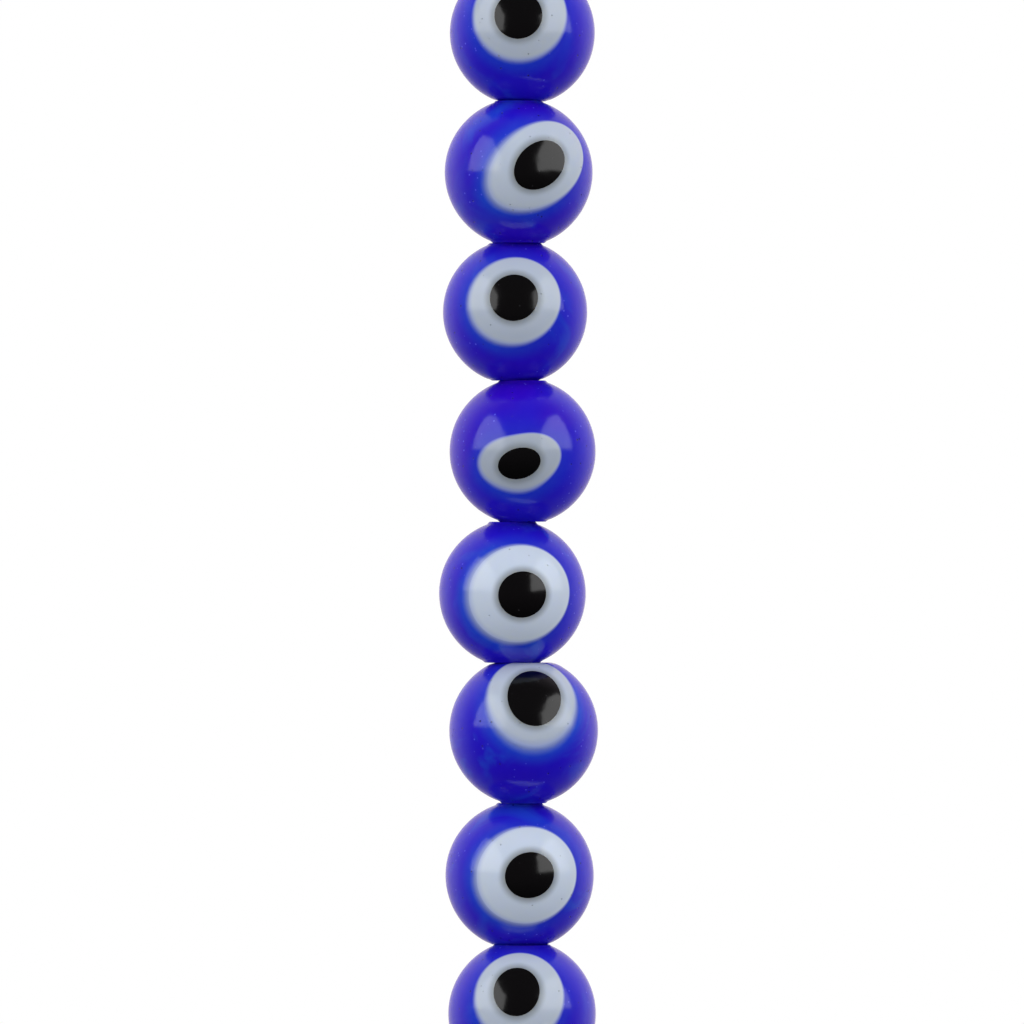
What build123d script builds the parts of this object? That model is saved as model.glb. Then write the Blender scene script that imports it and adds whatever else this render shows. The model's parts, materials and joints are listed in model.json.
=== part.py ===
from build123d import *
from dataclasses import dataclass
from math import cos, pi, radians, sin, sqrt, tan
import os

# A strand of eight round lampwork evil eye beads, hanging on a cord from a small loop.
# Origin: the inside of the loop's crown, where a hook carries it.
# +Z up, +X right, and the beads' front eyes face -Y.
# Every length is in millimetres and every angle in degrees.

# Cord: one limp twisted nylon cord, from the loop through all the bores to the bottom knot.
cord_diameter = 0.8
cord_joint_gap = 0.06       # free length between two cord links, at each hinge
tail_length = 5.0
tail_lean = 12.0

# Loop: its centre line, from inside the knot, up one leg, over the crown and down the other leg.
loop_drop = 18.0            # from the crown's inner face to the top of the knot
loop_route = [
    (-0.48, -18.7),
    (-1.60, -12.2),
    (-3.80, -4.9),
    (-2.20, 0.4),
    (2.30, 0.4),
    (3.60, -4.4),
    (1.85, -11.7),
    (0.48, -18.7),
]

# Knots: the outer shape of a tight overhand knot.
knot_width = 3.0
knot_height = 2.5
knot_edge_radius = 0.5
neck_gap = 0.05             # between the top knot and the round end of the first cord link
neck_length = 0.75          # bare cord from the first hinge down to the first bead

# Beads: the cord's hole, the rounded lip round it, and the play between two beads.
bore_diameter = 1.7
crest_radius = 1.1          # the ring on which a bead touches its neighbour
bead_gap = 0.09

# Eyes: how far the wall of each inlay stands out of its pocket's floor at the rim.
white_rim_depth = 0.45
pupil_rim_depth = 0.5
back_eye_step = 3           # a bead's back eye has the size of the front eye this many beads on


@dataclass
class Inlay:
    turn: float             # round the bore from straight ahead, towards +X
    lift: float             # above the bead's equator
    half_width: float
    half_height: float
    roll: float = 0.0       # of its width, anticlockwise as seen from outside


@dataclass
class Bead:
    radius: float
    top: float              # from the ball's centre up to the upper lip
    bottom: float           # from the ball's centre down to the lower lip
    shift_x: float          # of the bore from the strand's line
    shift_y: float
    white: Inlay
    pupil: Inlay


# Handmade beads: no two are quite the same size, and each sits on the cord in its own way.
beads = [
    Bead(4.93, 4.75, 4.60, 0.29, 0.10, Inlay(-2.5, 16, 3.12, 3.18), Inlay(-3.4, 12.3, 1.62, 1.64)),
    Bead(5.03, 4.80, 4.75, 0.04, -0.25, Inlay(18.5, 5, 3.72, 2.66, 34), Inlay(17.5, 4.5, 1.98, 1.48, 38)),
    Bead(4.91, 4.62, 4.61, -0.20, 0.20, Inlay(-0.5, 10.2, 3.10, 2.95, 20), Inlay(-1, 11, 1.63, 1.60, 20)),
    Bead(4.97, 4.76, 4.73, 0.31, -0.10, Inlay(-2.2, -9, 2.76, 1.90, 11), Inlay(-2.8, -10, 1.47, 1.05, 16)),
    Bead(4.99, 4.82, 4.65, -0.38, 0.05, Inlay(7, 0, 3.45, 3.26, 22), Inlay(8, -0.5, 1.64, 1.56, 17)),
    Bead(5.06, 4.57, 4.87, 0.38, -0.10, Inlay(8.8, 30.6, 3.00, 3.35), Inlay(10, 29.4, 1.83, 2.12, -8)),
    Bead(5.05, 4.88, 4.63, 0.11, 0.30, Inlay(7, 2, 3.42, 3.24, 22), Inlay(8, 2.1, 1.69, 1.54, 19)),
    Bead(5.02, 4.65, 4.70, 0.27, -0.15, Inlay(-2.8, 19, 2.98, 3.10), Inlay(-4.8, 20.8, 1.56, 1.72)),
]

cord_radius = cord_diameter / 2
bore_radius = bore_diameter / 2
knot_top = -loop_drop
knot_bottom = knot_top - knot_height
neck_hinge = knot_bottom - neck_gap - cord_radius
os.makedirs("parts", exist_ok=True)


def save(node, shape):
    """Writes one named piece."""
    shape.label = node
    export_step(shape, f"parts/{node}.step")


def arc_about(centre_r, centre_z, radius, start, end):
    """A circular arc in the half plane of a bead's outline, between two angles from the equator."""
    turns = [radians(start), radians((start + end) / 2), radians(end)]
    points = [(centre_r + radius * cos(t), 0, centre_z + radius * sin(t)) for t in turns]
    return ThreePointArc(*points)


def shoulder(bead, height):
    """The arc that leads from the lip's crest to the ball, tangent to both: its radius and its last angle."""
    radius = (bead.radius**2 - height**2 - crest_radius**2) / (2 * (bead.radius - height))
    angle = Vector(crest_radius, height - radius).get_angle(Vector(1, 0))
    return radius, angle


def bead_blank(bead):
    """A whole bead without its inlays: a ball with a bore, with a rounded lip at both ends."""
    lip = crest_radius - bore_radius
    top_radius, top_angle = shoulder(bead, bead.top)
    bottom_radius, bottom_angle = shoulder(bead, bead.bottom)
    outline = [
        Line((bore_radius, 0, -bead.bottom + lip), (bore_radius, 0, bead.top - lip)),
        arc_about(crest_radius, bead.top - lip, lip, 180, 90),
        arc_about(crest_radius, bead.top - top_radius, top_radius, 90, top_angle),
        arc_about(0, 0, bead.radius, top_angle, -bottom_angle),
        arc_about(crest_radius, -bead.bottom + bottom_radius, bottom_radius, -bottom_angle, -90),
        arc_about(crest_radius, -bead.bottom + lip, lip, 270, 180),
    ]
    return revolve(make_face(outline), Axis.Z)


def inlay_prism(bead, inlay, rim_depth, facing):
    """The elliptic core that an inlay fills, from its flat floor out past the ball."""
    turn = radians(inlay.turn + facing)
    lift = radians(inlay.lift)
    outward = Vector(cos(lift) * sin(turn), -cos(lift) * cos(turn), sin(lift))
    across = Vector(cos(turn), sin(turn), 0)
    floor = sqrt(bead.radius**2 - max(inlay.half_width, inlay.half_height) ** 2) - rim_depth
    plane = Plane(origin=outward * floor, x_dir=across, z_dir=outward)
    ellipse = Rot(0, 0, inlay.roll) * Ellipse(inlay.half_width, inlay.half_height)
    return extrude(plane * ellipse, amount=bead.radius)


def make_bead(number, bead, back, centre_z):
    """The blue glass with its pockets, the two white lenses in them and the two black pupils in those."""
    blank = bead_blank(bead)
    place = Pos(bead.shift_x, bead.shift_y, centre_z)
    glass = blank
    whites = []
    pupils = []
    for facing, source in [(0, bead), (180, back)]:
        white_core = inlay_prism(bead, source.white, white_rim_depth, facing)
        pupil_core = inlay_prism(bead, source.pupil, pupil_rim_depth, facing)
        glass = glass - white_core
        whites += ((blank & white_core) - pupil_core).solids()
        pupils += (blank & pupil_core).solids()
    save(f"bead_{number}_glass", place * glass.solid())
    save(f"bead_{number}_eye_whites", place * Compound(children=whites))
    save(f"bead_{number}_pupils", place * Compound(children=pupils))


def cord_rod(top, bottom):
    """A straight length of the cord on the strand's line."""
    return Pos(0, 0, (top + bottom) / 2) * Cylinder(cord_radius, top - bottom)


def knot(top):
    """A knot's outer shape, a barrel with rounded edges."""
    half_width = knot_width / 2
    half_height = knot_height / 2
    flat = half_width - knot_edge_radius
    straight = half_height - knot_edge_radius
    outline = [
        Line((0, 0, -half_height), (flat, 0, -half_height)),
        arc_about(flat, -straight, knot_edge_radius, -90, 0),
        Line((half_width, 0, -straight), (half_width, 0, straight)),
        arc_about(flat, straight, knot_edge_radius, 0, 90),
        Line((flat, 0, half_height), (0, 0, half_height)),
        Line((0, 0, half_height), (0, 0, -half_height)),
    ]
    return Pos(0, 0, top - half_height) * revolve(make_face(outline), Axis.Z)


def corner_radii(points):
    """The largest tangent arc that the two runs at each corner leave room for."""
    radii = []
    for before, corner, after in zip(points, points[1:], points[2:]):
        incoming = Vector(*corner) - Vector(*before)
        outgoing = Vector(*after) - Vector(*corner)
        turn = radians(incoming.get_angle(outgoing))
        radii.append(0.45 * min(incoming.length, outgoing.length) / tan(turn / 2))
    return radii


def hanging_loop():
    """The cord's loop: a tube of straight runs joined by tangent arcs."""
    points = [(x, 0, z) for x, z in loop_route]
    radii = corner_radii(points)
    path = FilletPolyline(*points, radius=radii)
    tube = sweep(Plane(origin=path @ 0, z_dir=path % 0) * Circle(cord_radius), path=path)
    section = pi * cord_radius**2
    print("loop radii", [round(r, 1) for r in radii], "length", round(path.length, 2))
    print("loop volume over section times length", round(tube.volume / (section * path.length), 4))
    return tube


# Loop and top knot: the knot is one lump round the two legs of the loop.
loop = hanging_loop()
save("hanging_loop", loop)
save("top_knot", (knot(knot_top) - loop).solid())

# Beads and the cord inside them: one link of cord to a bead, hinged between the beads.
first_lip = neck_hinge - neck_length
link_top = neck_hinge
lip = first_lip
for number, bead in enumerate(beads, start=1):
    centre = lip - bead.top
    junction = centre - bead.bottom - bead_gap / 2
    back_bead = beads[(number - 1 + back_eye_step) % len(beads)]
    make_bead(number, bead, back_bead, centre)
    if number == 1:
        link = cord_rod(link_top, junction + cord_joint_gap / 2) + Pos(0, 0, link_top) * Sphere(cord_radius)
    elif number < len(beads):
        link = cord_rod(link_top, junction + cord_joint_gap / 2)
    else:
        link = cord_rod(link_top, junction - knot_height / 2)
    save(f"cord_link_{number}", link.solid())
    print("bead", number, "centre", round(centre, 3), "hinge below", round(junction, 3))
    link_top = junction - cord_joint_gap / 2
    lip = junction - bead_gap / 2

# Bottom knot, which carries the beads, and the trimmed end of the cord below it.
bottom_knot = knot(lip)
tail_reach = tail_length + knot_height / 2
tail_rod = Pos(0, 0, -tail_reach / 2) * Cylinder(cord_radius, tail_reach)
tail = Pos(0, 0, lip - knot_height / 2) * Rot(0, tail_lean, 0) * tail_rod - bottom_knot
save("bottom_knot", (bottom_knot - link).solid())
save("cord_tail", tail.solid())
print("neck hinge", round(neck_hinge, 3), "last lip", round(lip, 3))
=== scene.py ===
import bmesh
import bpy
import json
from math import asin, atan2, cos, hypot, pi, radians, sin, sqrt
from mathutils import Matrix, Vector, noise
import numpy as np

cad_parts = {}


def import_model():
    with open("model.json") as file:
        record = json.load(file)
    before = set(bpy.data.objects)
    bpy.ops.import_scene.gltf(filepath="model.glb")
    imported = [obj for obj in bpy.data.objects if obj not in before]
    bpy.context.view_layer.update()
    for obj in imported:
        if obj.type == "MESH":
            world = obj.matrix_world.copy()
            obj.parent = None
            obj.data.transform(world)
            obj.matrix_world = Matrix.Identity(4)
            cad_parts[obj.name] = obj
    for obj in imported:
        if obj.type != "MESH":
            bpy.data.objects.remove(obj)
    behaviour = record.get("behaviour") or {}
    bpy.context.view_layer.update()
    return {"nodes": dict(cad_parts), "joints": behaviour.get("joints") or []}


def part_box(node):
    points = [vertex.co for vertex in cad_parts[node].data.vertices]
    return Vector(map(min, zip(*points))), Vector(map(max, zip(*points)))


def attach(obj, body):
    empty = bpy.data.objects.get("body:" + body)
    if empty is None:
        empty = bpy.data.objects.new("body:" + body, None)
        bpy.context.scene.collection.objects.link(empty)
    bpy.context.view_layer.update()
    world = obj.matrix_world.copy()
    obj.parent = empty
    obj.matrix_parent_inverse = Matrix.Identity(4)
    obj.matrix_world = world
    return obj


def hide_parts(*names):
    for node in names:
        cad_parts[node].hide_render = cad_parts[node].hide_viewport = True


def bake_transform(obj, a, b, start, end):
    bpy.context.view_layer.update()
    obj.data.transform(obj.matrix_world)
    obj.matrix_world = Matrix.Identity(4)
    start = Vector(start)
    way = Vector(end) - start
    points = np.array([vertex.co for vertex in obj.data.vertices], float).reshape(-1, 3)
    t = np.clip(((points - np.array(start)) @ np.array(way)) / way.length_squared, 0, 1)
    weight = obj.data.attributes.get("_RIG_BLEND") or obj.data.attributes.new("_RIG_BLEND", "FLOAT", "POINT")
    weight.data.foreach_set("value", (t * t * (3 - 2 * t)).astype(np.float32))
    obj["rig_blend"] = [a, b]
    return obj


# A hanging strand of round cobalt glass evil eye beads.
# Lengths are in metres, and MM turns millimetres into metres.
MM = 0.001

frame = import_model()
BEADS = len([name for name in frame["nodes"] if name.endswith("_glass")])

# Bead ends: the bore with its rounded mouth, and a flat lip that flares into the ball. In the CAD model the
# beads have a little play. Here each lip stands out by half of it and a hair more, so that neighbours touch
# at rest. LIPS are the lips' radii in millimetres: bead 1's upper one, then one radius for both lips at each
# junction, and last bead 8's lower one. A point nearer the axis than BORE_WALL is on the bore's wall.
BORE = 0.85 * MM
BORE_WALL = 1.01 * BORE
MOUTH = 0.15 * MM
HALF_PLAY = 0.046 * MM
FLARE = 0.45 * MM
LIP_EDGE = 0.20 * MM
LIPS = [1.30, 1.60, 1.78, 1.60, 1.60, 1.90, 1.54, 1.90, 1.50]

# How finely the outline is drawn. Angles are in radians from the bore: the close steps round a lip's corner
# start and end this far from it, and the end's outline meets the plain ball at END_ANGLE.
CORNER_BEFORE = 0.05
CORNER_AFTER = 0.08
END_ANGLE = 0.62
MERIDIANS = 160
WALL_STEPS = 10
LIP_STEPS = 5
FLAT_STEPS = 5
CORNER_STEPS = 12
SHOULDER_STEPS = 10
BALL_STEPS = 76

# The handmade ball's unevenness, which grows from nothing at LUMPS_FROM, measured from the bore's axis.
LUMP_HEIGHT = 0.022 * MM
LUMP_SIZE = 3.6 * MM
LUMPS_FROM = 2.2 * MM
LUMPS_GROW_OVER = 1.5 * MM

# Floors of the inlays, as in the CAD model. An edge of a piece belongs to the outline it is this near to.
WHITE_RIM_DEPTH = 0.45 * MM
PUPIL_RIM_DEPTH = 0.50 * MM
RIM_REACH = 0.05 * MM
HALVINGS = 14
BACK_EYE_STEP = 3


class Inlay:
    """One glass dot: an ellipse pressed into the ball. Turns are in degrees and widths in millimetres.
    lemon pulls its outline out at three corners, one of them at lemon_at."""

    def __init__(self, turn, lift, half_width, half_height, roll=0.0, lemon=0.0, lemon_at=0.0, facing=0.0):
        self.given = (turn, lift, half_width, half_height, roll, lemon, lemon_at)
        turn, lift = radians(turn + facing), radians(lift)
        self.axis = Vector((cos(lift) * sin(turn), -cos(lift) * cos(turn), sin(lift)))
        self.across = Vector((cos(turn), sin(turn), 0))
        self.up = self.axis.cross(self.across)
        self.half_width, self.half_height = half_width * MM, half_height * MM
        self.roll = radians(roll)
        self.lemon, self.lemon_at = lemon, radians(lemon_at)

    def on_the_back(self):
        """The same dot on the other side of a bead."""
        return Inlay(*self.given, facing=180)

    def polar(self, point):
        """A point's direction round the dot's axis and its distance from it."""
        x, y = point.dot(self.across), point.dot(self.up)
        return atan2(y, x), hypot(x, y)

    def reach(self, angle):
        """Distance from the axis to the outline in a direction round the axis."""
        turned = angle - self.roll
        ellipse = 1 / hypot(cos(turned) / self.half_width, sin(turned) / self.half_height)
        return ellipse * (1 + self.lemon * cos(3 * (angle - self.lemon_at)))

    def beyond(self, point):
        """How far over the surface a point lies outside the outline, negative inside it.
        The bore's wall is never inside."""
        if hypot(point.x, point.y) < BORE_WALL:
            return point.length
        angle, distance = self.polar(point)
        radius = point.length
        away = asin(min(distance / radius, 1))
        if point.dot(self.axis) < 0:
            away = pi - away
        return radius * (away - asin(min(self.reach(angle) / radius, 1)))


def front_eye(white, pupil, soft_at, soft):
    """The white dot, the pupil, and how the white's edge fades into the blue: soft_at is the side on which
    blue glass veils the edge, in degrees, and soft the width of the veil there, in millimetres."""
    return dict(white=white, pupil=pupil, soft_at=soft_at, soft=soft)


EYES = [
    front_eye(Inlay(-2.5, 16, 3.12, 3.18), Inlay(-3.4, 12.3, 1.62, 1.64), 250, 0.30),
    front_eye(Inlay(18.5, 5, 3.72, 2.66, 34), Inlay(17.5, 4.5, 1.98, 1.48, 38), 205, 0.50),
    front_eye(Inlay(-0.5, 10.2, 3.10, 2.95, 20), Inlay(-1, 11, 1.63, 1.60, 20), 215, 0.35),
    front_eye(Inlay(-2.2, -9, 2.76, 1.90, 11, 0.035, 40), Inlay(-2.8, -10, 1.47, 1.05, 16), 240, 0.30),
    front_eye(Inlay(7, 0, 3.45, 3.26, 22), Inlay(8, -0.5, 1.64, 1.56, 17), 200, 0.55),
    front_eye(Inlay(8.8, 30.6, 3.00, 3.35), Inlay(10, 29.4, 1.83, 2.12, -8), 265, 0.60),
    front_eye(Inlay(7, 2, 3.42, 3.24, 22), Inlay(8, 2.1, 1.69, 1.54, 19), 200, 0.50),
    front_eye(Inlay(-2.8, 19, 2.98, 3.10), Inlay(-4.8, 20.8, 1.56, 1.72), 250, 0.30),
]
SOFT_LEAST = 0.10 * MM
SOFT_FOCUS = 1.5
FACTS = ("rim", "soft", "iris")


# ---------------------------------------------------------------- node helpers


class Nodes:
    """Short calls for building a material's nodes."""

    def __init__(self, name):
        self.material = bpy.data.materials.new(name)
        self.material.use_nodes = True
        self.tree = self.material.node_tree
        self.shader = self.tree.nodes["Principled BSDF"]

    def link(self, source, target):
        self.tree.links.new(source, target)

    def plug(self, socket, value):
        if isinstance(value, bpy.types.NodeSocket):
            self.link(value, socket)
        elif isinstance(value, tuple) and socket.type == "RGBA":
            socket.default_value = (*value, 1)
        else:
            socket.default_value = value

    def new(self, kind, **settings):
        node = self.tree.nodes.new("ShaderNode" + kind)
        for name, value in settings.items():
            setattr(node, name, value)
        return node

    def place(self):
        """A point on the piece, in millimetres."""
        coordinates = self.new("TexCoord").outputs["Object"]
        scaled = self.new("VectorMath", operation="SCALE")
        self.link(coordinates, scaled.inputs[0])
        scaled.inputs["Scale"].default_value = 1 / MM
        return scaled.outputs["Vector"]

    def attribute(self, name):
        return self.new("Attribute", attribute_name=name).outputs["Fac"]

    def math(self, operation, a, b=0.0, clamp=False):
        node = self.new("Math", operation=operation, use_clamp=clamp)
        self.plug(node.inputs[0], a)
        self.plug(node.inputs[1], b)
        return node.outputs[0]

    def ramp(self, value, low, high, to_low=0.0, to_high=1.0):
        node = self.new("MapRange", interpolation_type="SMOOTHSTEP")
        for name, number in (("Value", value), ("From Min", low), ("From Max", high)):
            self.plug(node.inputs[name], number)
        self.plug(node.inputs["To Min"], to_low)
        self.plug(node.inputs["To Max"], to_high)
        return node.outputs["Result"]

    def mix(self, factor, a, b):
        node = self.new("Mix", data_type="RGBA")
        self.plug(node.inputs["Factor"], factor)
        self.plug(node.inputs["A"], a)
        self.plug(node.inputs["B"], b)
        return node.outputs["Result"]

    def noise(self, place, size, detail=2.0, distortion=0.0):
        """Smooth noise from 0 to 1, with features of about this size in millimetres."""
        node = self.new("TexNoise")
        self.link(place, node.inputs["Vector"])
        node.inputs["Scale"].default_value = 1 / size
        node.inputs["Detail"].default_value = detail
        node.inputs["Distortion"].default_value = distortion
        return node.outputs["Fac"]

    def specks(self, place, spacing, radius, share):
        """Small round spots: 1 at the middle of a spot and 0 outside it, on a share of the cells."""
        cells = self.new("TexVoronoi")
        self.link(place, cells.inputs["Vector"])
        cells.inputs["Scale"].default_value = 1 / spacing
        near = self.ramp(cells.outputs["Distance"], radius / spacing, 0.4 * radius / spacing)
        shade = self.new("SeparateColor")
        self.link(cells.outputs["Color"], shade.inputs["Color"])
        chosen = self.math("LESS_THAN", shade.outputs["Red"], share)
        return self.math("MULTIPLY", near, chosen)

    def bump(self, height, depth):
        """Relief, where a height of 1 stands depth millimetres proud."""
        node = self.new("Bump")
        node.inputs["Distance"].default_value = depth * MM
        self.link(height, node.inputs["Height"])
        self.link(node.outputs["Normal"], self.shader.inputs["Normal"])

    def set(self, **values):
        for name, value in values.items():
            self.plug(self.shader.inputs[name.replace("_", " ")], value)


# ---------------------------------------------------------------- glass

COBALT = (0.018, 0.007, 0.57)
AZURE = (0.012, 0.085, 0.64)
VIOLET = (0.032, 0.003, 0.54)
OPAL = (0.46, 0.52, 0.62)
# Painted shade for the white glass, at its pits and round its pupil.
OPAL_SHADE = (0.22, 0.25, 0.29)
JET = (0.0014, 0.0013, 0.0014)
JET_SPECK = (0.04, 0.04, 0.045)
BUBBLE = (0.12, 0.13, 0.85)
# Painted shade: the near-black blue inside the open bubbles.
PIT_SHADE = (0.002, 0.001, 0.07)
GLASS_IOR = 1.5
SCATTER_COLOUR_REACH = (0.5, 0.6, 1.0)
SCATTER_SCALE = 0.8 * MM


def veil(n):
    """How blue a point is near a white dot's edge: 0 on the white, 1 on the blue."""
    soft = n.attribute("soft")
    return n.ramp(n.attribute("rim"), n.math("MULTIPLY", soft, -0.85), n.math("MULTIPLY", soft, 1.2))


def bubbles(n):
    """Pale seeds of air just under the surface, in loose clusters."""
    place = n.place()
    clusters = n.ramp(n.noise(place, 2.6, 1.0), 0.46, 0.62)
    return n.math("MULTIPLY", n.specks(place, 0.42, 0.085, 0.5), clusters)


def pits(n):
    """Small open bubbles in the surface. Where they are painted dark, the dark is painted shade in the hollows."""
    return n.specks(n.place(), 0.66, 0.080, 0.5)


def blue_glass(n, violet, azure):
    """The blue's colour: cobalt with azure and violet clouds, and an azure glow beside a veiled edge."""
    place = n.place()
    clouds = n.ramp(n.noise(place, 4.5, 3.0, 1.2), 0.50, 0.72)
    colour = n.mix(n.math("MULTIPLY", clouds, azure), COBALT, AZURE)
    patches = n.ramp(n.noise(place, 6.0, 1.0), 0.45, 0.65)
    colour = n.mix(n.math("MULTIPLY", patches, violet), colour, VIOLET)
    near = n.ramp(n.attribute("rim"), 1.7, 0.0)
    strength = n.math("MULTIPLY", n.attribute("soft"), 1.5, clamp=True)
    colour = n.mix(n.math("MULTIPLY", near, strength), colour, AZURE)
    colour = n.mix(n.math("MULTIPLY", bubbles(n), 0.7), colour, BUBBLE)
    # The pits are painted near black: painted shade in the open bubbles.
    return n.mix(pits(n), colour, PIT_SHADE)


def glass_finish(n, scatter):
    """What all the glass shares: a fire-polished surface over a glowing inside."""
    n.set(Roughness=0.15, IOR=GLASS_IOR, Subsurface_Weight=scatter)
    n.shader.inputs["Subsurface Radius"].default_value = SCATTER_COLOUR_REACH
    n.shader.inputs["Subsurface Scale"].default_value = SCATTER_SCALE
    skin = n.noise(n.place(), 1.4, 1.0)
    n.bump(n.math("SUBTRACT", n.math("MULTIPLY", skin, 0.20), pits(n)), 0.035)


def seamless(n):
    """0 on a white dot's edge and 1 away from it. Light scattered inside the glass would leave a dark line
    there, at the walls of the two pieces."""
    return n.ramp(n.math("ABSOLUTE", n.attribute("rim")), 0.04, 0.30)


def cobalt_material(number, violet, azure):
    n = Nodes(f"cobalt_glass_{number}")
    n.set(Base_Color=n.mix(veil(n), OPAL, blue_glass(n, violet, azure)))
    clear = n.math("SUBTRACT", 1.0, n.math("MAXIMUM", bubbles(n), pits(n)))
    glass_finish(n, n.math("MULTIPLY", seamless(n), clear))
    return n.material


def opal_material(number, milk):
    n = Nodes(f"opal_glass_{number}")
    # Painted shade: the white turns grey towards the pupil.
    pupil_ring_shade = n.ramp(n.attribute("iris"), 0.60, 0.0)
    opal = tuple(part * milk for part in OPAL)
    white = n.mix(n.math("MULTIPLY", pupil_ring_shade, 0.75), opal, OPAL_SHADE)
    # Painted shade: the pits in the white are darkened towards grey.
    white = n.mix(n.math("MULTIPLY", pits(n), 0.6), white, OPAL_SHADE)
    n.set(Base_Color=n.mix(veil(n), white, AZURE))
    glass_finish(n, n.math("MULTIPLY", seamless(n), 0.6))
    return n.material


def jet_material():
    n = Nodes("jet_glass")
    place = n.place()
    specks = n.specks(place, 0.45, 0.06, 0.35)
    n.set(Base_Color=n.mix(n.math("MULTIPLY", specks, 0.6), JET, JET_SPECK))
    n.set(Roughness=0.14, IOR=GLASS_IOR)
    skin = n.noise(place, 0.8, 1.0)
    n.bump(skin, 0.012)
    return n.material


# ---------------------------------------------------------------- bead shape


class Ball:
    """One bead's measures, read from the frame."""

    def __init__(self, number):
        low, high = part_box(f"bead_{number}_glass")
        spin = next(j for j in frame["joints"] if j["name"] == f"bead_{number}_spin")
        self.centre = Vector(spin["pos_m"])
        self.radius = (high[0] - low[0]) / 2
        self.top = high[2] - self.centre.z + HALF_PLAY
        self.bottom = self.centre.z - low[2] + HALF_PLAY
        self.top_lip, self.bottom_lip = LIPS[number - 1] * MM, LIPS[number] * MM
        self.seed = Vector((number * 7.3, number * 3.1, number * 5.7))


def rounded_least(a, b, width):
    """The smaller of two numbers, with the change from one to the other rounded over a width."""
    share = max(width - abs(a - b), 0) / width
    return min(a, b) - share * share * width / 4


def end_outline(radius, height, lip):
    """Points (r, z) of the upper end, from the lip's inner edge over its flat and down to the ball."""
    points = []
    for i in range(LIP_STEPS + 1):
        turn = pi / 2 * i / LIP_STEPS
        points.append((BORE + MOUTH * (1 - cos(turn)), height - MOUTH * (1 - sin(turn))))
    first, corner, last = atan2(BORE + MOUTH, height), atan2(lip, height), END_ANGLE
    near, far = corner - CORNER_BEFORE, corner + CORNER_AFTER
    span = CORNER_BEFORE + CORNER_AFTER
    turns = [first + (near - first) * i / FLAT_STEPS for i in range(1, FLAT_STEPS)]
    turns += [near + span * i / CORNER_STEPS for i in range(CORNER_STEPS)]
    turns += [far + (last - corner - CORNER_AFTER) * i / SHOULDER_STEPS for i in range(SHOULDER_STEPS)]
    for turn in turns:
        ball = -rounded_least(-radius, -lip / sin(turn), FLARE)
        reach = rounded_least(height / cos(turn), ball, LIP_EDGE)
        points.append((reach * sin(turn), reach * cos(turn)))
    return points


def outline(ball):
    """A bead's closed outline: up the bore, over the upper lip, down the ball and round the lower lip."""
    upper = end_outline(ball.radius, ball.top, ball.top_lip)
    lower = [(r, -z) for r, z in end_outline(ball.radius, ball.bottom, ball.bottom_lip)]
    low, high = lower[0][1], upper[0][1]
    points = [(BORE, low + (high - low) * i / WALL_STEPS) for i in range(1, WALL_STEPS)]
    points += upper
    turns = [END_ANGLE + (pi - 2 * END_ANGLE) * i / BALL_STEPS for i in range(BALL_STEPS + 1)]
    points += [(ball.radius * sin(t), ball.radius * cos(t)) for t in turns]
    points += reversed(lower)
    return points


def revolved(points):
    """A ring-shaped skin: the outline turned round the bore, centred on the ball's centre."""
    bm = bmesh.new()
    rings = []
    for i in range(MERIDIANS):
        turn = 2 * pi * i / MERIDIANS
        rings.append([bm.verts.new((r * cos(turn), r * sin(turn), z)) for r, z in points])
    for i in range(MERIDIANS):
        ring, after = rings[i], rings[(i + 1) % MERIDIANS]
        for j in range(len(points)):
            k = (j + 1) % len(points)
            bm.faces.new((ring[j], ring[k], after[k], after[j]))
    bmesh.ops.recalc_face_normals(bm, faces=bm.faces)
    return bm


def score(bm, inlay):
    """Cuts the skin's faces along an inlay's outline, so that every face is wholly in it or out of it."""
    beyond = {v: inlay.beyond(v.co) for v in bm.verts}
    crossed = [e for e in bm.edges if beyond[e.verts[0]] * beyond[e.verts[1]] < 0]
    made = []
    for edge in crossed:
        inner, outer = sorted(edge.verts, key=lambda v: beyond[v])
        a, b = inner.co.copy(), outer.co.copy()
        low, high = 0.0, 1.0
        for _ in range(HALVINGS):
            middle = (low + high) / 2
            if inlay.beyond(a.lerp(b, middle)) < 0:
                low = middle
            else:
                high = middle
        share = (low + high) / 2
        reach = a.length + (b.length - a.length) * share
        _, vert = bmesh.utils.edge_split(edge, inner, share)
        vert.co = a.lerp(b, share).normalized() * reach
        made.append(vert)
    bmesh.ops.connect_verts(bm, verts=made)


def lumpy(ball, point):
    """The handmade ball is not quite round: a point of the skin, moved out or in a little."""
    distance = hypot(point.x, point.y)
    hold = min(1, max(0, (distance - LUMPS_FROM) / LUMPS_GROW_OVER))
    height = noise.noise(point / LUMP_SIZE + ball.seed)
    return point - point.normalized() * LUMP_HEIGHT * hold * (0.5 + 0.5 * height)


def eye_of(number, facing):
    """The front eye of a bead, or its back eye, which is like another bead's front eye."""
    if facing == "front":
        return EYES[number - 1]
    other = EYES[(number - 1 + BACK_EYE_STEP) % BEADS]
    return dict(other, white=other["white"].on_the_back(), pupil=other["pupil"].on_the_back())


def edge_softness(eye, point):
    """The width of a white dot's veil in a point's direction."""
    angle, _ = eye["white"].polar(point)
    side = 0.5 + 0.5 * cos(angle - radians(eye["soft_at"]))
    return SOFT_LEAST + eye["soft"] * MM * side**SOFT_FOCUS


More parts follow.
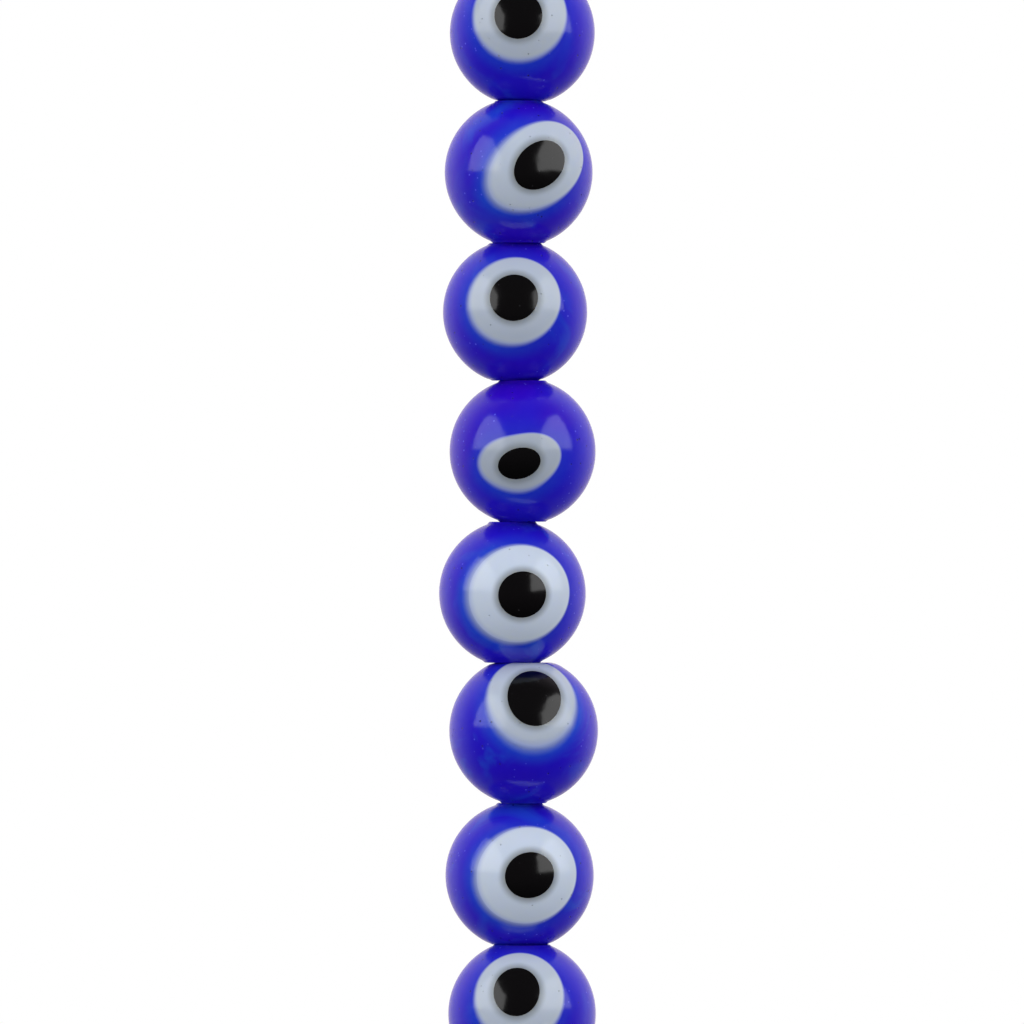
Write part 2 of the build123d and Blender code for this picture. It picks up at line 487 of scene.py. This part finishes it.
def solid_from(skin, faces, floors, centre):
    """A closed piece: some faces of the skin, with walls down to a flat floor at each rim.
    floors is a list of (inlay, distance of its floor from the ball's centre)."""
    bm = bmesh.new()
    normal_of = bm.verts.layers.float_vector.new("normal")
    facts = []
    for name in FACTS:
        facts.append((bm.verts.layers.float.new(name), skin.verts.layers.float[name]))
    held = skin.verts.layers.float_vector["normal"]
    made = {}
    for face in faces:
        for v in face.verts:
            if v not in made:
                new = made[v] = bm.verts.new(v.co)
                new[normal_of] = v[held]
                for here, there in facts:
                    new[here] = v[there]
        bm.faces.new([made[v] for v in face.verts])
    skin_faces = set(bm.faces)
    rims = [e for e in bm.edges if len(e.link_faces) == 1]
    for edge in rims:
        edge.smooth = False
    for inlay, floor in floors:
        near = [e for e in rims if abs(inlay.beyond((e.verts[0].co + e.verts[1].co) / 2)) < RIM_REACH]
        walls = bmesh.ops.extrude_edge_only(bm, edges=near)["geom"]
        for v in [g for g in walls if isinstance(g, bmesh.types.BMVert)]:
            v.co -= inlay.axis * (v.co.dot(inlay.axis) - floor)
        foot = [g for g in walls if isinstance(g, bmesh.types.BMEdge) and len(g.link_faces) == 1]
        for edge in foot:
            edge.smooth = False
        bmesh.ops.contextual_create(bm, geom=foot)
    bmesh.ops.recalc_face_normals(bm, faces=bm.faces)
    mesh = bpy.data.meshes.new("piece")
    for v in bm.verts:
        v.co += centre
    normals = []
    for face in bm.faces:
        face.smooth = True
        for loop in face.loops:
            normals.append(tuple(loop.vert[normal_of]) if face in skin_faces else (0.0, 0.0, 0.0))
    bm.to_mesh(mesh)
    bm.free()
    mesh.normals_split_custom_set(normals)
    return mesh


def floor_of(ball, inlay, depth):
    """Distance of an inlay's floor from the ball's centre, as in the CAD model."""
    widest = max(inlay.half_width, inlay.half_height)
    return sqrt(ball.radius**2 - widest**2) - depth


def show(name, mesh, material, slot, body, *nodes):
    """Adds one finished piece to the scene, in place of CAD nodes."""
    mesh.name = name
    mesh.materials.append(material)
    piece = bpy.data.objects.new(name, mesh)
    bpy.context.scene.collection.objects.link(piece)
    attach(piece, body)
    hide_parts(*nodes)
    return piece


def make_bead(number, cobalt, opal, jet):
    ball = Ball(number)
    skin = revolved(outline(ball))
    eyes = [eye_of(number, "front"), eye_of(number, "back")]
    for eye in eyes:
        score(skin, eye["white"])
        score(skin, eye["pupil"])
    rim, soft, iris = (skin.verts.layers.float.new(name) for name in FACTS)
    for v in skin.verts:
        eye = min(eyes, key=lambda e: e["white"].beyond(v.co))
        v[rim] = eye["white"].beyond(v.co) / MM
        v[soft] = edge_softness(eye, v.co) / MM
        v[iris] = eye["pupil"].beyond(v.co) / MM
    kinds = {"glass": [], "white": [], "pupil": []}
    for face in skin.faces:
        middle = face.calc_center_median()
        if min(e["pupil"].beyond(middle) for e in eyes) < 0:
            kinds["pupil"].append(face)
        elif min(e["white"].beyond(middle) for e in eyes) < 0:
            kinds["white"].append(face)
        else:
            kinds["glass"].append(face)
    for v in skin.verts:
        v.co = lumpy(ball, v.co)
    skin.normal_update()
    normal = skin.verts.layers.float_vector.new("normal")
    for v in skin.verts:
        v[normal] = v.normal
    whites = [(e["white"], floor_of(ball, e["white"], WHITE_RIM_DEPTH)) for e in eyes]
    pupils = [(e["pupil"], floor_of(ball, e["pupil"], PUPIL_RIM_DEPTH)) for e in eyes]
    body = f"bead_{number}"
    glass_mesh = solid_from(skin, kinds["glass"], whites, ball.centre)
    white_mesh = solid_from(skin, kinds["white"], whites + pupils, ball.centre)
    pupil_mesh = solid_from(skin, kinds["pupil"], pupils, ball.centre)
    skin.free()
    show(f"{body}_blue_glass", glass_mesh, cobalt, "cobalt_glass", body, f"{body}_glass")
    show(f"{body}_white_dots", white_mesh, opal, "white_glass", body, f"{body}_eye_whites")
    show(f"{body}_black_dots", pupil_mesh, jet, "black_glass", body, f"{body}_pupils")


# How violet and how azure each bead's blue is, and how bright its white.
TINTS = [
    (0.5, 0.3, 0.97),
    (0.7, 0.6, 1.10),
    (0.4, 0.5, 1.02),
    (1.0, 0.1, 0.88),
    (0.3, 0.6, 1.28),
    (0.2, 0.8, 1.05),
    (0.3, 0.6, 1.28),
    (0.5, 0.3, 1.06),
]
jet = jet_material()
for number, (violet, azure, milk) in enumerate(TINTS, start=1):
    make_bead(number, cobalt_material(number, violet, azure), opal_material(number, milk), jet)


# ---------------------------------------------------------------- cord

# One twisted nylon cord of three plies, from the hanging loop through all the bores to its cut end.
CORD_RADIUS = 0.40 * MM
PLIES = 3
PLY_RADIUS = CORD_RADIUS / (1 + 2 / sqrt(3))
PLY_OFFSET = CORD_RADIUS - PLY_RADIUS
PLY_SIDES = 10
CORD_LAY = 2.3 * MM
CORD_STEP = 0.14 * MM

# The loop's centre line in the XZ plane, in millimetres, as in the CAD model.
LOOP_ROUTE = [
    (-0.48, -18.7),
    (-1.60, -12.2),
    (-3.80, -4.9),
    (-2.20, 0.4),
    (2.30, 0.4),
    (3.60, -4.4),
    (1.85, -11.7),
    (0.48, -18.7),
]
LOOP_LEG_SIDE = 0.48 * MM

# The knots' wraps: a barrel, narrower at its ends. The last three
# say how deep in a knot the ends of its wraps and the top of the first run lie.
KNOT_HEIGHT = 2.5 * MM
KNOT_COIL = 1.03 * MM
KNOT_END_SHARE = 0.45
KNOT_FULLNESS = 0.4
KNOT_END_ROOM = 2.3 * CORD_RADIUS
KNOT_LEAN = 0.12 * MM
KNOT_WRAPS = 3.0
COIL_STEPS = 90
TOP_ENDS_INSIDE = 0.3 * MM
LAST_ENDS_INSIDE = 0.4 * MM
RUN_INSIDE = 0.5 * MM

# The cut end, a little shorter than in the CAD model, since its plies open. BEND_HALF is how far above and
# below the first hinge the neck's bend starts and ends.
TAIL_LENGTH = 5.0 * MM
TAIL_TRIM = 0.1 * MM
TAIL_LEAN = radians(12)
TAIL_SPLAY = 0.35
FRAY_LENGTH = 0.8 * MM
BEND_HALF = 0.35 * MM

NYLON_DARK = (0.006, 0.008, 0.10)
NYLON_LIGHT = (0.025, 0.03, 0.30)


def cord_material():
    """Dark blue nylon: fine fibres along the plies, and a soft sheen."""
    n = Nodes("blue_nylon")
    place = n.place()
    fibres = n.noise(place, 0.07, 3.0, 0.4)
    n.set(Base_Color=n.mix(fibres, NYLON_DARK, NYLON_LIGHT))
    n.set(Roughness=0.45, Sheen_Weight=0.25, Sheen_Roughness=0.4)
    n.bump(fibres, 0.02)
    return n.material


def even_steps(points, step):
    """The same path as points at even steps."""
    runs = [(b - a).length for a, b in zip(points, points[1:])]
    count = max(2, round(sum(runs) / step))
    made, run, gone = [], 0, 0.0
    for i in range(count + 1):
        target = sum(runs) * i / count
        while run < len(runs) - 1 and gone + runs[run] < target:
            gone += runs[run]
            run += 1
        made.append(points[run].lerp(points[run + 1], min(1, (target - gone) / runs[run])))
    return made


def smooth_route(controls):
    """A smooth path through the shape that the control points give."""
    curve = bpy.data.curves.new("route", "CURVE")
    curve.dimensions = "3D"
    spline = curve.splines.new("NURBS")
    spline.points.add(len(controls) - 1)
    for point, place in zip(spline.points, controls):
        point.co = (*place, 1)
    spline.order_u = 3
    spline.use_endpoint_u = True
    spline.resolution_u = 16
    holder = bpy.data.objects.new("route", curve)
    bpy.context.scene.collection.objects.link(holder)
    mesh = bpy.data.meshes.new_from_object(holder)
    path = [v.co.copy() for v in mesh.vertices]
    bpy.data.objects.remove(holder)
    bpy.data.meshes.remove(mesh)
    return path


def rope(path, turned=0.0, splay=0.0):
    """Three plies twisted round a path, as one mesh. splay opens them at the far end, where a cord is cut."""
    points = even_steps(path, CORD_STEP)
    bm = bmesh.new()
    side = Vector((0, 1, 0))
    rings = [[] for _ in range(PLIES)]
    for i, point in enumerate(points):
        along = (points[min(i + 1, len(points) - 1)] - points[max(i - 1, 0)]).normalized()
        side = (side - along * side.dot(along)).normalized()
        other = along.cross(side)
        left = (len(points) - 1 - i) * CORD_STEP
        spread = 1 + splay * max(0, 1 - left / FRAY_LENGTH) ** 2
        for ply in range(PLIES):
            turn = turned + 2 * pi * (i * CORD_STEP / CORD_LAY + ply / PLIES)
            middle = point + (side * cos(turn) + other * sin(turn)) * PLY_OFFSET * spread
            ring = []
            for j in range(PLY_SIDES):
                corner = turn + 2 * pi * j / PLY_SIDES
                out = side * cos(corner) + other * sin(corner)
                ring.append(bm.verts.new(middle + out * PLY_RADIUS))
            rings[ply].append(ring)
    for ply in rings:
        for ring, after in zip(ply, ply[1:]):
            for j in range(PLY_SIDES):
                k = (j + 1) % PLY_SIDES
                bm.faces.new((ring[j], ring[k], after[k], after[j])).smooth = True
        bm.faces.new(reversed(ply[0]))
        bm.faces.new(ply[-1])
    bmesh.ops.recalc_face_normals(bm, faces=bm.faces)
    mesh = bpy.data.meshes.new("rope")
    bm.to_mesh(mesh)
    bm.free()
    return mesh


def coil(middle, start, end):
    """A tight barrel of wraps round the cord's line, with both ends led in to given points."""
    path = [Vector(start)]
    for i in range(COIL_STEPS + 1):
        share = i / COIL_STEPS
        turn = 2 * pi * KNOT_WRAPS * share
        swell = KNOT_END_SHARE + (1 - KNOT_END_SHARE) * sin(pi * share) ** KNOT_FULLNESS
        lean = KNOT_LEAN * sin(turn)
        height = (0.5 - share) * (KNOT_HEIGHT - KNOT_END_ROOM) + lean * sin(pi * share)
        reach = KNOT_COIL * swell
        path.append(middle + Vector((reach * cos(turn), reach * sin(turn), height)))
    path.append(Vector(end))
    return smooth_route(path)


def show_cord(name, mesh, material, *nodes):
    """Adds one piece of cord in place of CAD nodes. Its body is set by the caller."""
    mesh.name = name
    mesh.materials.append(material)
    piece = bpy.data.objects.new(name, mesh)
    bpy.context.scene.collection.objects.link(piece)
    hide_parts(*nodes)
    return piece


def make_cord():
    nylon = cord_material()
    hinges = [j["pos_m"][2] for j in frame["joints"] if j["name"].endswith("_tilt")]
    top_knot_low, top_knot_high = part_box("top_knot")
    last_knot_low, last_knot_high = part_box("bottom_knot")

    route = smooth_route([(x * MM, 0, z * MM) for x, z in LOOP_ROUTE])
    loop = show_cord("loop_cord", rope(route), nylon, "hanging_loop")
    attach(loop, "hanger")

    middle = Vector((0, 0, (top_knot_low[2] + top_knot_high[2]) / 2))
    start = (LOOP_LEG_SIDE, 0, top_knot_high[2] - TOP_ENDS_INSIDE)
    knot = show_cord("top_knot_wraps", rope(coil(middle, start, (0, 0, top_knot_low[2]))), nylon, "top_knot")
    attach(knot, "hanger")

    # One straight run to a link, from hinge to hinge. The first starts in the knot and bends below it.
    low_end = (last_knot_low[2] + last_knot_high[2]) / 2
    tops = [top_knot_low[2] + RUN_INSIDE] + hinges[1:]
    bottoms = hinges[1:] + [low_end]
    for k, (top, bottom) in enumerate(zip(tops, bottoms), start=1):
        turned = 2 * pi * (tops[0] - top) / CORD_LAY
        run = rope([Vector((0, 0, top)), Vector((0, 0, bottom))], turned)
        piece = show_cord(f"cord_run_{k}", run, nylon, f"cord_link_{k}")
        if k == 1:
            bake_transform(piece, "hanger", "link_1", (0, 0, hinges[0] + BEND_HALF), (0, 0, hinges[0] - BEND_HALF))
        else:
            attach(piece, f"link_{k}")

    middle = Vector((0, 0, low_end))
    start = (0, 0, last_knot_high[2] - LAST_ENDS_INSIDE)
    end = (0, 0, last_knot_low[2] + LAST_ENDS_INSIDE)
    wraps = coil(middle, start, end)
    knot = show_cord("bottom_knot_wraps", rope(wraps), nylon, "bottom_knot")
    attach(knot, f"link_{BEADS}")
    lean = Vector((-sin(TAIL_LEAN), 0, -cos(TAIL_LEAN)))
    tail_run = [middle, middle + lean * (KNOT_HEIGHT / 2 + TAIL_LENGTH - TAIL_TRIM)]
    tail = show_cord("cut_end", rope(tail_run, splay=TAIL_SPLAY), nylon, "cord_tail")
    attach(tail, f"link_{BEADS}")


make_cord()


# ---------------------------------------------------------------- studio

# The camera looks straight at the middle of the beads, from their front.
SEEN_HEIGHT = 69.5 * MM
CAMERA_DISTANCE = 0.75
CAMERA_SIDESTEP = -0.41 * MM
CAMERA_RISE = 0.66 * MM


def camera():
    middle_name = f"bead_{BEADS // 2 + 1}_tilt"
    middle_joint = next(j for j in frame["joints"] if j["name"] == middle_name)
    data = bpy.data.cameras.new("camera")
    data.sensor_width = 36
    data.lens = data.sensor_width * CAMERA_DISTANCE / SEEN_HEIGHT
    data.dof.use_dof = False
    made = bpy.data.objects.new("camera", data)
    bpy.context.scene.collection.objects.link(made)
    made.location = (CAMERA_SIDESTEP, -CAMERA_DISTANCE, middle_joint["pos_m"][2] + CAMERA_RISE)
    made.rotation_euler = (pi / 2, 0, 0)
    bpy.context.scene.camera = made


# Two softboxes stand left and right of the camera, upright, with the upper inner corner cut off. Their
# corners are measured outward from the panel's middle and up from the camera's height.
SOFTBOX_TURN = 57
SOFTBOX_DISTANCE = 0.5
SOFTBOX_CORNERS = [(-0.26, 0.035), (0.26, 0.035), (0.26, 0.60), (0.02, 0.56), (-0.26, 0.28)]
SOFTBOX_STRENGTH = 2.0


def softbox(name, side, height):
    """A glowing panel that faces the strand. side is -1 for left and 1 for right."""
    turn = radians(SOFTBOX_TURN)
    middle = Vector((side * sin(turn), -cos(turn), 0)) * SOFTBOX_DISTANCE
    outward = Vector((side * cos(turn), sin(turn), 0))
    mesh = bpy.data.meshes.new(name)
    corners = [middle + outward * u + Vector((0, 0, height + rise)) for u, rise in SOFTBOX_CORNERS]
    mesh.from_pydata(corners, [], [list(range(len(corners)))])
    n = Nodes(name)
    n.set(Base_Color=(0, 0, 0), Emission_Color=(1, 1, 1), Emission_Strength=SOFTBOX_STRENGTH)
    mesh.materials.append(n.material)
    panel = bpy.data.objects.new(name, mesh)
    panel.visible_camera = False
    bpy.context.scene.collection.objects.link(panel)


MIRRORED_COLOUR = (1, 0.88, 1)


def world():
    """White all round for the camera. What the glass mirrors is bright behind the strand and dark towards the
    camera and below. The even light that soaks into the glass is stronger from above."""
    made = bpy.data.worlds.new("studio")
    bpy.context.scene.world = made
    made.use_nodes = True
    tree = made.node_tree
    output = next(n for n in tree.nodes if n.type == "OUTPUT_WORLD")
    seen = next(n for n in tree.nodes if n.type == "BACKGROUND")
    seen.inputs["Color"].default_value = (1, 1, 1, 1)
    direction = tree.nodes.new("ShaderNodeSeparateXYZ")
    tree.links.new(tree.nodes.new("ShaderNodeTexCoord").outputs["Generated"], direction.inputs[0])
    path = tree.nodes.new("ShaderNodeLightPath")

    def ramp(axis, low, high, to_low, to_high):
        node = tree.nodes.new("ShaderNodeMapRange")
        node.interpolation_type = "SMOOTHSTEP"
        tree.links.new(direction.outputs[axis], node.inputs["Value"])
        for name, value in (("From Min", low), ("From Max", high), ("To Min", to_low), ("To Max", to_high)):
            node.inputs[name].default_value = value
        return node.outputs["Result"]

    def background(strength, colour=(1, 1, 1)):
        node = tree.nodes.new("ShaderNodeBackground")
        node.inputs["Color"].default_value = (*colour, 1)
        tree.links.new(strength, node.inputs["Strength"])
        return node.outputs[0]

    def choose(ray, otherwise, when):
        node = tree.nodes.new("ShaderNodeMixShader")
        tree.links.new(path.outputs[ray], node.inputs[0])
        tree.links.new(otherwise, node.inputs[1])
        tree.links.new(when, node.inputs[2])
        return node.outputs[0]

    # Each ramp turns how far the ray points along an axis, between the first two numbers, into a brightness.
    mirrored = tree.nodes.new("ShaderNodeMath")
    mirrored.operation = "MULTIPLY"
    tree.links.new(ramp("Y", -0.25, 0.65, 0.07, 0.78), mirrored.inputs[0])
    tree.links.new(ramp("Z", -0.8, 0.05, 0.22, 1.0), mirrored.inputs[1])
    soaked = ramp("Z", -1.0, 1.0, 0.42, 1.05)
    lighting = choose("Is Glossy Ray", background(soaked), background(mirrored.outputs[0], MIRRORED_COLOUR))
    tree.links.new(choose("Is Camera Ray", lighting, seen.outputs[0]), output.inputs["Surface"])


FLOOR_DEPTH = 0.35
FLOOR_HALF_WIDTH = 1.5
FLOOR_COLOUR = (0.85, 0.85, 0.86)


def floor():
    """A plain pale floor, well below the hanging strand."""
    bm = bmesh.new()
    bmesh.ops.create_grid(bm, x_segments=1, y_segments=1, size=FLOOR_HALF_WIDTH)
    mesh = bpy.data.meshes.new("floor")
    bm.to_mesh(mesh)
    bm.free()
    n = Nodes("pale_floor")
    n.set(Base_Color=FLOOR_COLOUR, Roughness=0.9)
    mesh.materials.append(n.material)
    made = bpy.data.objects.new("floor", mesh)
    made.location = (0, 0, -FLOOR_DEPTH)
    made.visible_glossy = made.visible_diffuse = False
    bpy.context.scene.collection.objects.link(made)


bpy.context.scene.view_settings.view_transform = "Standard"
camera()
world()
floor()
softbox("left_softbox", -1, bpy.context.scene.camera.location.z)
softbox("right_softbox", 1, bpy.context.scene.camera.location.z)
